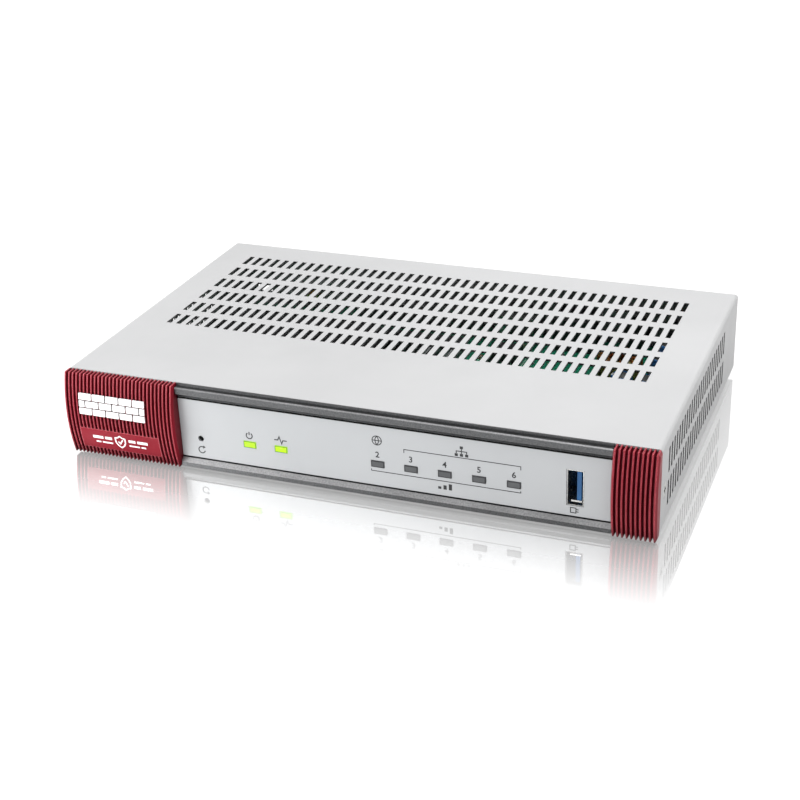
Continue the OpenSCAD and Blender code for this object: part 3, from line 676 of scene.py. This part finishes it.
def print_front_panel():
    """Plain symbols, brackets and port numbers printed on the silver panel."""
    line, tree_line, fine, bracket_line = 0.4, 0.34, 0.32, 0.28
    number_size, tick = 3.1, 1.3
    low, high = box_mm("port_led_lenses")
    label_z = high.z + 2.3
    bracket_z = high.z + 5.9
    rail_z = high.z - LENS_H - 1.5
    power, system = box_mm("power_led_lens"), box_mm("system_led_lens")
    lens_w = power[1].x - power[0].x
    ports = [low.x + lens_w / 2 + i * (high.x - low.x - lens_w) / 4 for i in range(5)]
    place = forward_place(box_mm("front_panel")[0].y)
    bm = bmesh.new()
    power_symbol(bm, middle(power).x, label_z, 1.15, line, place)
    pulse_symbol(bm, middle(system).x, label_z, 1.5, line, place)
    for number, x in enumerate(ports, start=2):
        add_figure(bm, str(number), number_size, x, label_z, place)
    for first, z, end in ((1, bracket_z, -tick), (0, rail_z, tick / 2)):
        left, right = ports[first] - lens_w / 2, ports[4] + lens_w / 2
        add_ribbon(bm, [(left, z + end), (left, z), (right, z), (right, z + end)], bracket_line, place)
    globe_symbol(bm, ports[0], bracket_z + 1.9, 1.7, fine, place)
    network_symbol(bm, (ports[1] + ports[4]) / 2, bracket_z + 2.4, 1.4, tree_line, place)
    speed_symbol(bm, (ports[0] + ports[4]) / 2, rail_z - 2.0, 1.9, place)
    reset = middle(box_mm("reset_plunger"))
    reset_symbol(bm, reset.x, reset.z - 4.4, 1.25, line, place)
    usb = box_mm("usb_shell")
    plug_symbol(bm, middle(usb).x - 0.3, usb[0].z - 1.7, 1.3, fine, place)
    add_piece("panel_printing", bm, "black_plastic")


def lens_rims():
    """Darker ring round each indicator window: painted shade of the gap round it."""
    lit_edge = moulded("lens_lit_edge", (0.10, 0.20, 0.002), (0.14, 0.26, 0.003), 0.4).material
    lit_nodes, dark_nodes = ("power_led_lens", "system_led_lens"), ("port_led_lenses",)
    inset = LENS_SHADE_W / 2
    for slot, nodes, look in (("lens_lit", lit_nodes, lit_edge),
                              ("lens_dark", dark_nodes, MATERIALS["black_plastic"])):
        bm = bmesh.new()
        for low, high in (box for node in nodes for box in island_boxes(node)):
            outline = rectangle(low.x + inset, high.z - LENS_H + inset, high.x - inset, high.z - inset)
            add_ribbon(bm, outline, LENS_SHADE_W, forward_place(low.y), closed=True)
        add_piece(slot + "_edge_shade", bm, slot, look=look)


def panel_seal():
    """Black strip in front of the panel's top edge, under the frame: painted shade of the recess under the brow.
    """
    low, high = box_mm("front_panel")
    gap, thickness = 0.1, 0.3
    z = high.z - GAP_SHADE_H / 2
    bm = bmesh.new()
    add_ribbon(bm, [(low.x + gap, z), (high.x - gap, z)], GAP_SHADE_H, forward_place(low.y), thickness)
    add_piece("panel_top_gap_shade", bm, "black_plastic", look=black_foam("gap_shade_material").material)


def print_cap_plate():
    """A plain ticked shield between broken bars, printed on the left cap's smooth plate."""
    tree = BVHTree.FromObject(frame["nodes"]["left_end_cap"], bpy.context.evaluated_depsgraph_get())
    in_front = box_mm("left_end_cap")[0].y - 5

    def place(u, v, w):
        """(x, z) on the plate, which curves with the cap."""
        start = Vector((u, in_front, v)) * MM
        return Vector((u, tree.ray_cast(start, Vector((0, 1, 0)))[0].y / MM - w, v))

    u, v = middle(box_mm("cap_emblem")).x + 1.6, 8.35
    line = 0.5
    side = [(0, -2.5), (1.2, -1.6), (1.9, -0.4), (2.0, 1.5), (1.0, 1.7), (0, 2.4)]
    outline = [(u + a, v + b) for a, b in side] + [(u - a, v + b) for a, b in side[-2:0:-1]]
    bm = bmesh.new()
    add_ribbon(bm, outline, line, place, closed=True)
    add_ribbon(bm, [(u - 0.9, v + 0.1), (u - 0.2, v - 0.8), (u + 1.0, v + 0.9)], line, place)
    upper = (0.85, 1.1, ((3.4, 6.2), (7.0, 11.2)))
    lower = (-1.15, 0.6, ((3.4, 7.6), (8.3, 10.2)))
    for height, width, bars in (upper, lower):
        for s, (start, end) in product((-1, 1), bars):
            add_ribbon(bm, [(u + s * start, v + height), (u + s * end, v + height)], width, place)
    add_piece("cap_plate_printing", bm, "emblem_white")


def usb_springs():
    """Spring fingers inside the USB shell, bowed into its mouth."""
    low, high = box_mm("usb_shell")
    wall, strip, finger_w = 0.32, 0.2, 3.6
    first_x = middle((low, high)).x - 1.5
    upward_bow = [(0.75, 0.6), (0.62, 0.8), (0.75, 1.15), (1.6, 1.2), (4.4, 0.6), (6.5, 0.05)]
    downward_bow = [(3.0, 0.2), (3.6, 0.5), (4.8, 0.5), (6.5, 0.05)]

    def against(edge, sign):
        """Puts (depth, bow) on the shell's floor or roof."""
        return lambda u, v, w: Vector((first_x + w, low.y + u, edge + sign * (v + strip / 2)))

    bm = bmesh.new()
    add_ribbon(bm, upward_bow, strip, against(low.z + wall, 1), finger_w)
    add_ribbon(bm, downward_bow, strip, against(high.z - wall, -1), finger_w)
    add_piece("usb_spring_fingers", bm, "plated_steel")


# ------------------------------------------------------------------ Rear wall

def jack_centres():
    """Middle x of the Ethernet jacks, by port number."""
    low, high = box_mm("lan_jack_contacts")
    wan = box_mm("wan_jack_contacts")
    comb = wan[1].x - wan[0].x
    pitch = (high.x - low.x - comb) / 3
    ports = {2: middle(wan).x}
    for i in range(4):
        ports[3 + i] = high.x - comb / 2 - i * pitch
    return ports


def print_rear_wall():
    """Port numbers, and plain symbols over the console jack, the power inlet and the ground screw."""
    line, number_size, ground_z = 0.34, 3.3, 19.6
    label_z = box_mm("lan_jack_shield")[1].z + 2.2
    place = rearward_place(box_mm("bottom_chassis")[1].y)
    bm = bmesh.new()
    for number, x in jack_centres().items():
        add_figure(bm, str(number), number_size, -x, label_z, place)
    console_symbol(bm, -middle(box_mm("console_jack_contacts")).x, label_z, line, place)
    polarity_symbol(bm, -middle(box_mm("dc_jack_pin")).x, label_z, line, place)
    ground_symbol(bm, -middle(box_mm("ground_screw")).x, ground_z, line, place)
    add_piece("rear_printing", bm, "black_plastic")


def port_lights():
    """Link and activity windows above each Ethernet jack's mouth."""
    unlit_green = moulded("unlit_green", (0.05, 0.22, 0.06), (0.08, 0.32, 0.10), 0.3, coat=0.4).material
    half_w, aside = 1.35, 4.3
    corner = box_mm("lan_jack_shield")[1]
    for name, offset, look in (("link_light_windows", aside, unlit_green),
                               ("activity_light_windows", -aside, MATERIALS["lens_dark"])):
        bm = bmesh.new()
        for x in jack_centres().values():
            add_block(bm, (x + offset - half_w, corner.y - 0.05, corner.z - 1.62),
                      (x + offset + half_w, corner.y + 0.12, corner.z - 0.5), 0.08)
        add_piece(name, bm, "lens_dark", look=look)


def rocker_marks():
    """Ring and bar on the two faces of the rocker, for off and on."""
    tree = BVHTree.FromObject(frame["nodes"]["power_rocker"], bpy.context.evaluated_depsgraph_get())
    low, high = box_mm("power_rocker")
    centre = middle((low, high))

    def place(u, v, w):
        """(u, z) on the rocker's tilted faces."""
        start = Vector((-u, high.y + 5, v)) * MM
        return Vector((-u, tree.ray_cast(start, Vector((0, -1, 0)))[0].y / MM + w, v))

    aside, half = 2.4, 0.95
    ring_u, bar_u = -centre.x - aside, -centre.x + aside
    bm = bmesh.new()
    add_ribbon(bm, circle(ring_u, centre.z, 0.85), 0.3, place, closed=True)
    add_ribbon(bm, [(bar_u, centre.z - half), (bar_u, centre.z + half)], 0.34, place)
    add_piece("rocker_marks", bm, "emblem_white", body="rocker")


# ------------------------------------------------------------------ Board detail

def board_top():
    return box_mm("main_board")[1].z


def add_leads(bm, box, axis, count, width, reach):
    """Gull-wing leads along the two sides of a chip that face along an axis (0 for x, 1 for y)."""
    low, high = box
    other = 1 - axis
    end_gap, thickness = 0.6, 0.16
    span = high[other] - low[other] - 2 * end_gap
    foot = board_top() + 0.12
    shoulder = (board_top() + high.z) / 2
    bend = [(-0.2, shoulder), (0.3 * reach, shoulder), (0.5 * reach, foot), (reach, foot)]
    for side in (-1, 1):
        edge = (low if side < 0 else high)[axis]
        for i in range(count):
            at = low[other] + end_gap + span * (i + 0.5) / count - width / 2

            def place(u, v, w):
                point = [0, 0, v]
                point[axis] = edge + side * u
                point[other] = at + w
                return Vector(point)

            add_ribbon(bm, bend, thickness, place, width)


def chip_leads():
    bm = bmesh.new()
    add_leads(bm, box_mm("flash_chip"), 0, 24, 0.24, 1.1)
    for axis in (0, 1):
        add_leads(bm, box_mm("switch_chip"), axis, 32, 0.25, 1.2)
    for box in island_boxes("line_transformers"):
        add_leads(bm, box, 1, 8, 0.45, 1.3)
    for box in island_boxes("power_inductors"):
        add_leads(bm, box, 0, 1, 4.0, 0.9)
    add_piece("chip_leads", bm, "plated_steel")


def capacitor_pieces():
    """Electrolytic cans: a sleeve with a crimped groove and a pale stripe, and a scored metal top."""
    stripe = moulded("sleeve_stripe", (0.62, 0.64, 0.66), (0.72, 0.74, 0.76), 0.35).material
    sleeves, tops = bmesh.new(), bmesh.new()
    for low, high in island_boxes("filter_capacitors"):
        c = middle((low, high))
        r, z0, z1 = (high.x - low.x) / 2 - 0.02, low.z, high.z
        foot = [(r - 0.7, z0 + 0.02), (r - 0.2, z0 + 0.1), (r, z0 + 0.5)]
        groove = [(r, z0 + 1.2), (r - 0.45, z0 + 1.6), (r, z0 + 2.0)]
        lip = [(r, z1 - 0.5), (r - 0.2, z1 - 0.12), (r - 0.7, z1), (r - 0.8, z1 - 0.2)]
        for face in (face for band in add_lathe(sleeves, c, foot + groove + lip) for face in band):
            at = face.calc_center_median()
            if len(face.verts) == 4 and at.x < c.x and abs(at.y - c.y) < 0.3 * r:
                face.material_index = 1
        lid = [(r - 0.85, z1 - 0.6), (r - 0.85, z1 - 0.16), (r - 1.0, z1 - 0.1), (0.3, z1 - 0.1)]
        add_lathe(tops, c, lid)
        for turn in (0, 60, 120):
            a = math.radians(turn)
            half = Vector((math.cos(a), math.sin(a))) * (r - 1.5)
            score = [(c.x - half.x, c.y - half.y), (c.x + half.x, c.y + half.y)]
            add_ribbon(tops, score, 0.25, upward_place(z1 - 0.11), 0.06 + turn * 0.0002)
    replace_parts(add_piece("capacitor_sleeves", sleeves, "capacitor_sleeve", extra=[stripe]), "filter_capacitors")
    add_piece("capacitor_tops", tops, "cell_steel")


def choke_turns():
    """Enamelled wire wound round the ring core."""
    low, high = box_mm("choke_winding")
    centre = middle(box_mm("choke_core"))
    wire, hole_r, turns, steps = 0.42, 3.4, 18, 28
    out_r, in_r = (high.x - low.x) / 2 - wire, hole_r + wire
    mid_r, half_r, half_z = (out_r + in_r) / 2, (out_r - in_r) / 2, (high.z - low.z) / 2 - wire
    points = []
    for i in range(turns * steps):
        turn = math.tau * i / (turns * steps)
        a = turn * turns
        squareness = (abs(math.cos(a)) ** 5 + abs(math.sin(a)) ** 5) ** -0.2
        r = mid_r + half_r * squareness * math.cos(a)
        points.append((centre.x + r * math.cos(turn), centre.y + r * math.sin(turn),
                       centre.z + half_z * squareness * math.sin(a)))
    bm = bmesh.new()
    add_tube(bm, points, wire)
    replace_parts(add_piece("choke_wire", bm, "copper_wire"), "choke_winding")


def board_bus(bm, start, end, count, pitch):
    """Parallel traces from start to end, with one slanted stretch in the middle.

    They set off along the bus's longer side, but a trace right in the middle always sets off along x.
    """
    start, end = Vector(start), Vector(end)
    way = end - start
    line, thickness, least_run = 0.45 * pitch, 0.025, 0.3
    for i in range(count):
        shift = (i - (count - 1) / 2) * pitch
        along = 0 if shift == 0 or abs(way.x) > abs(way.y) else 1
        run = (abs(way[along]) - abs(way[1 - along])) / 2
        step, across = Vector((0, 0)), Vector((0, 0))
        step[along] = math.copysign(max(run, least_run), way[along])
        across[1 - along] = shift
        a, b = start + across, end + across
        add_ribbon(bm, [a, a + step, b - step, b], line, upward_place(board_top()), thickness)


def board_traces():
    bm = bmesh.new()
    for bus in BUSES:
        board_bus(bm, *bus)
    tone = moulded("board_trace", (0.03, 0.36, 0.20), (0.05, 0.46, 0.26), 0.26, coat=0.3).material
    add_piece("board_traces", bm, "board_green", look=tone)


def taken_spots():
    """Rectangles of the board that parts already stand on, with room round them."""
    z, room = board_top(), 0.9
    spots = []
    for name in frame["nodes"]:
        if name not in OFF_BOARD:
            for low, high in island_boxes(name):
                if low.z < z + 1.3 and high.z > z - 0.5:
                    spots.append((low.x - room, low.y - room, high.x + room, high.y + room))
    return spots


def add_share(bm, spot, along, across, heights, edge):
    """Block over shares of a small part's length and width, between two heights over the board."""
    x, y, long, wide, turned = spot
    corners = []
    for a, b, height in zip(along, across, heights):
        u, v = (b * wide, a * long) if turned else (a * long, b * wide)
        corners.append((x + u, y + v, board_top() + height))
    low, high = ([pick(c[k] for c in corners) for k in range(3)] for pick in (min, max))
    add_block(bm, low, high, edge)


def small_parts():
    """Resistors, ceramic capacitors and three-legged chips in the board's free places."""
    tries, grid, gap, outline_gap, silk_line, silk = 420, 0.8, 0.5, 0.35, 0.14, 0.02
    kinds = ("resistor", "resistor", "ceramic", "ceramic", "ceramic", "large", "chip")
    low, high = box_mm("main_board")
    on_board = upward_place(board_top())
    spots = taken_spots()
    rng = random.Random(7)
    bodies, ends, chips, ceramics, silkscreen = (bmesh.new() for _ in range(5))
    for _ in range(tries):
        x = round(rng.uniform(low.x + 3, high.x - 3) / grid) * grid
        y = round(rng.uniform(low.y + 4, high.y - 18) / grid) * grid
        kind = rng.choice(kinds)
        turned = rng.random() < 0.5
        long, wide, tall = SMALL_PARTS[kind]
        half_x, half_y = (wide / 2, long / 2) if turned else (long / 2, wide / 2)
        x0, y0, x1, y1 = x - half_x, y - half_y, x + half_x, y + half_y
        if any(x0 < s[2] and x1 > s[0] and y0 < s[3] and y1 > s[1] for s in spots):
            continue
        spots.append((x0 - gap, y0 - gap, x1 + gap, y1 + gap))
        spot = (x, y, long, wide, turned)
        if kind == "chip":
            add_share(chips, spot, (-0.5, 0.5), (-0.42, 0.42), (0.12, tall), 0.1)
            for a, b in ((-0.32, -1), (0.32, -1), (0, 1)):
                add_share(ends, spot, (a - 0.07, a + 0.07), (0.4 * b, 0.85 * b), (0, 0.3), 0.05)
        else:
            body = bodies if kind == "resistor" else ceramics
            add_share(body, spot, (-0.34, 0.34), (-0.5, 0.5), (0.02, tall), 0.04)
            for along in ((-0.52, -0.32), (0.32, 0.52)):
                add_share(ends, spot, along, (-0.53, 0.53), (0, tall + 0.03), 0.05)
        if kind in ("large", "chip"):
            outline = grown((x0, y0), (x1, y1), outline_gap)
            add_ribbon(silkscreen, outline, silk_line, on_board, silk, closed=True)
    outlined = [box_mm("flash_chip"), box_mm("switch_chip"),
                *island_boxes("power_inductors"), *island_boxes("line_transformers")]
    for box in outlined:
        add_ribbon(silkscreen, grown(*box, 1.6), 0.16, on_board, silk, closed=True)
    add_piece("board_resistors", bodies, "chip_black")
    add_piece("board_ceramics", ceramics, "passive_tan")
    add_piece("board_small_chips", chips, "chip_black")
    add_piece("board_solder_ends", ends, "plated_steel")
    add_piece("board_silkscreen", silkscreen, "emblem_white")


def board_pads():
    """Plated vias and test pads."""
    tries, radii = 700, (0.25, 0.25, 0.3, 0.5)
    z = board_top()
    low, high = box_mm("main_board")
    spots = taken_spots()
    rng = random.Random(11)
    bm = bmesh.new()
    for _ in range(tries):
        x = rng.uniform(low.x + 2, high.x - 2)
        y = rng.uniform(low.y + 2, high.y - 18)
        if any(s[0] < x < s[2] and s[1] < y < s[3] for s in spots):
            continue
        r = rng.choice(radii)
        add_lathe(bm, (x, y), [(r + 0.08, z), (r, z + 0.03)], 10)
    add_piece("board_vias", bm, "gold_contact")


# ------------------------------------------------------------------ Underside

def blank_label():
    """Unprinted label stuck on the floor's underside."""
    half_w, y0, y1, corner_r, thickness = 36, -17, 20, 2.0, 0.08
    u, v0, v1 = half_w - corner_r, y0 + corner_r, y1 - corner_r
    outline = []
    for at, start in (((u, v1), 0), ((-u, v1), 90), ((-u, v0), 180), ((u, v0), 270)):
        outline += arc(*at, corner_r, start, start + 90, 6)
    bm = bmesh.new()
    add_plate(bm, outline, downward_place(box_mm("bottom_chassis")[0].z), thickness)
    add_piece("blank_label", bm, "emblem_white")


# ------------------------------------------------------------------ Studio, in metres

def add_camera():
    """Camera at the reference view: from the front right and above."""
    azimuth, elevation, roll = (math.radians(a) for a in (21.93, 25.78, -2.16))
    sensor, focal_share, distance = 36, 1.92625, 0.580
    across_shift, up_shift = 0.0054, 0.0105
    right = Vector((math.cos(azimuth), math.sin(azimuth), 0))
    ahead = Vector((-math.sin(azimuth) * math.cos(elevation), math.cos(azimuth) * math.cos(elevation),
                    -math.sin(elevation)))
    up = right.cross(ahead)
    across = right * math.cos(roll) + up * math.sin(roll)
    upright = up * math.cos(roll) - right * math.sin(roll)
    target = Vector((0, 0, (CAD_BOX[0].z + CAD_BOX[1].z) / 2))
    place = target - across * across_shift - upright * up_shift - ahead * distance
    data = bpy.data.cameras.new("camera")
    data.sensor_width = sensor
    data.lens = sensor * focal_share
    data.clip_start, data.clip_end = 0.01, 50
    camera = bpy.data.objects.new("camera", data)
    camera.matrix_world = Matrix.Translation(place) @ Matrix((across, upright, -ahead)).transposed().to_4x4()
    bpy.context.scene.collection.objects.link(camera)
    bpy.context.scene.camera = camera


def add_light(data, place, aim):
    light = bpy.data.objects.new(data.name, data)
    light.location = place
    light.rotation_mode = "QUATERNION"
    light.rotation_quaternion = (Vector(aim) - Vector(place)).to_track_quat("-Z", "Y")
    light.visible_camera = False
    bpy.context.scene.collection.objects.link(light)


def add_softbox(name, place, aim, size, power):
    data = bpy.data.lights.new(name, "AREA")
    data.shape = "RECTANGLE"
    data.size, data.size_y = size
    data.energy = power
    add_light(data, place, aim)


def add_sky_light(name, towards, strength, angle):
    """Broad even light from one direction, the same all over the floor."""
    data = bpy.data.lights.new(name, "SUN")
    data.energy = strength
    data.angle = angle
    add_light(data, towards, (0, 0, 0))


def floor_material():
    """Glowing white that turns into a clear mirror close to the object."""
    mirror_share, mirror_reach, tone, glow_strength = 0.60, 0.05, 0.32, 0.68
    material = bpy.data.materials.new("floor")
    material.use_nodes = True
    tree = material.node_tree
    nodes, links = tree.nodes, tree.links
    nodes.clear()
    centre = (CAD_BOX[0] + CAD_BOX[1]) / 2
    extent = (CAD_BOX[1] - CAD_BOX[0]) / 2
    coords = nodes.new("ShaderNodeTexCoord").outputs["Object"]
    offset = add_vector_maths(tree, "SUBTRACT", coords, (centre.x, centre.y, 0)).outputs["Vector"]
    folded = add_vector_maths(tree, "ABSOLUTE", offset).outputs["Vector"]
    away = add_vector_maths(tree, "SUBTRACT", folded, (extent.x, extent.y, 0)).outputs["Vector"]
    outside = add_vector_maths(tree, "MAXIMUM", away, (0, 0, 0)).outputs["Vector"]
    distance = add_vector_maths(tree, "LENGTH", outside).outputs["Value"]
    fade = add_remap(tree, distance, 0.0, mirror_reach, mirror_share, 0.0)
    fade.interpolation_type = "SMOOTHSTEP"
    matt = nodes.new("ShaderNodeBsdfDiffuse")
    matt.inputs["Color"].default_value = (tone, tone, tone, 1)
    glow = nodes.new("ShaderNodeEmission")
    glow.inputs["Strength"].default_value = glow_strength
    lit = nodes.new("ShaderNodeAddShader")
    links.new(matt.outputs["BSDF"], lit.inputs[0])
    links.new(glow.outputs["Emission"], lit.inputs[1])
    gloss = nodes.new("ShaderNodeBsdfGlossy")
    gloss.inputs["Color"].default_value = (1, 1, 1, 1)
    gloss.inputs["Roughness"].default_value = 0.0
    mix = nodes.new("ShaderNodeMixShader")
    links.new(fade.outputs["Result"], mix.inputs["Fac"])
    links.new(lit.outputs["Shader"], mix.inputs[1])
    links.new(gloss.outputs["BSDF"], mix.inputs[2])
    output = nodes.new("ShaderNodeOutputMaterial")
    links.new(mix.outputs["Shader"], output.inputs["Surface"])
    return material


def add_floor():
    """Pale glossy table, a hair below the object's foot."""
    half, gap = 6.0, 0.0002
    bm = bmesh.new()
    bmesh.ops.create_grid(bm, x_segments=1, y_segments=1, size=half)
    mesh = bpy.data.meshes.new("floor")
    bm.to_mesh(mesh)
    bm.free()
    mesh.materials.append(floor_material())
    floor = bpy.data.objects.new("floor", mesh)
    floor.location.z = CAD_BOX[0].z - gap
    bpy.context.scene.collection.objects.link(floor)


def add_world():
    """White at eye level, and dimmer overhead."""
    eye_level, overhead, dimmest = 0.21, 0.38, 0.3
    world = bpy.data.worlds.new("studio")
    world.use_nodes = True
    tree = world.node_tree
    height = tree.nodes.new("ShaderNodeSeparateXYZ")
    tree.links.new(tree.nodes.new("ShaderNodeTexCoord").outputs["Generated"], height.inputs["Vector"])
    dim = add_remap(tree, height.outputs["Z"], eye_level, overhead, 1.0, dimmest)
    dim.interpolation_type = "SMOOTHSTEP"
    background = tree.nodes["Background"]
    background.inputs["Color"].default_value = (1, 1, 1, 1)
    tree.links.new(dim.outputs["Result"], background.inputs["Strength"])
    bpy.context.scene.world = world


def add_studio():
    """Soft light from above, boxes that brighten the front's left and the top's right, and a white card
    behind the object, which the floor mirrors."""
    bpy.context.scene.view_settings.view_transform = "Standard"
    add_world()
    add_sky_light("overhead", (0.1, 0.0, 1.0), 3.5, math.radians(60))
    add_softbox("front_left", (-0.30, -0.27, 0.12), (-0.03, -0.066, 0.016), (0.22, 0.22), 1.0)
    add_softbox("front_strip", (-0.18, -0.38, 0.06), (-0.05, -0.07, 0.016), (0.26, 0.10), 0.35)
    add_softbox("top_right", (0.10, 0.03, 0.22), (0.10, 0.03, 0.03), (0.15, 0.15), 0.14)
    add_softbox("backdrop_card", (-1.5, 2.6, 1.46), (0, 0, 0), (4.4, 1.8), 18.7)
    add_floor()


finish_cad_nodes()
print_front_panel()
lens_rims()
panel_seal()
print_cap_plate()
usb_springs()
print_rear_wall()
port_lights()
rocker_marks()
chip_leads()
capacitor_pieces()
choke_turns()
board_traces()
small_parts()
board_pads()
blank_label()
add_camera()
add_studio()
